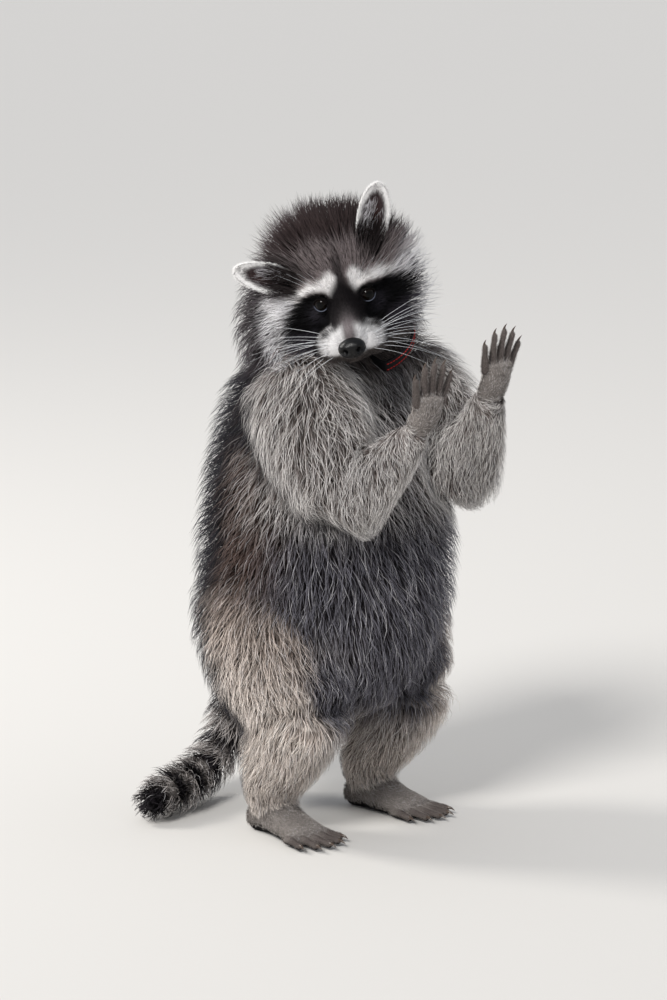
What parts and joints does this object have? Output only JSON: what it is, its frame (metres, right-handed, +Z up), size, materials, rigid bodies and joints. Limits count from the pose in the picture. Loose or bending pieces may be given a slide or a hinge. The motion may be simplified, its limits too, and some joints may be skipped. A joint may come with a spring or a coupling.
{
  "type": "raccoon",
  "caption": "life-size still raccoon standing upright on its hind feet and tail, forepaws raised, head turned and tilted, wearing a plain strap collar",
  "frame": {"origin": "on the floor, in the middle of the whole model's box", "axes": "+Z up, -Y the way the body faces, +X the animal's left"},
  "size_m": [0.2636, 0.3344, 0.5892],
  "materials": {
    "head_fur": "short and long fur, grizzled grey-brown with a black mask and white brows",
    "body_fur": "long shaggy fur, grey-brown with pale tips and a dark back",
    "paw_fur": "very short light grey fur over dark skin",
    "nose_skin": "moist black skin",
    "strap": "black woven strap with thin red stitching",
    "eye": "glossy dark brown, almost black"
  },
  "bodies": {
    "root": {"head": "head_fur", "nose": "nose_skin", "eye_right": "eye", "eye_left": "eye", "ear_right": "head_fur", "ear_left": "head_fur", "neck": "body_fur", "torso": "body_fur", "collar": "strap", "thigh_right": "body_fur", "thigh_left": "body_fur", "shank_right": "body_fur", "shank_left": "body_fur", "foot_right": "paw_fur", "foot_left": "paw_fur", "upper_arm_right": "body_fur", "upper_arm_left": "body_fur", "forearm_right": "body_fur", "forearm_left": "body_fur", "hand_right": "paw_fur", "hand_left": "paw_fur", "tail_1": "body_fur", "tail_2": "body_fur", "tail_3": "body_fur", "tail_4": "body_fur"}
  },
  "joints": []
}
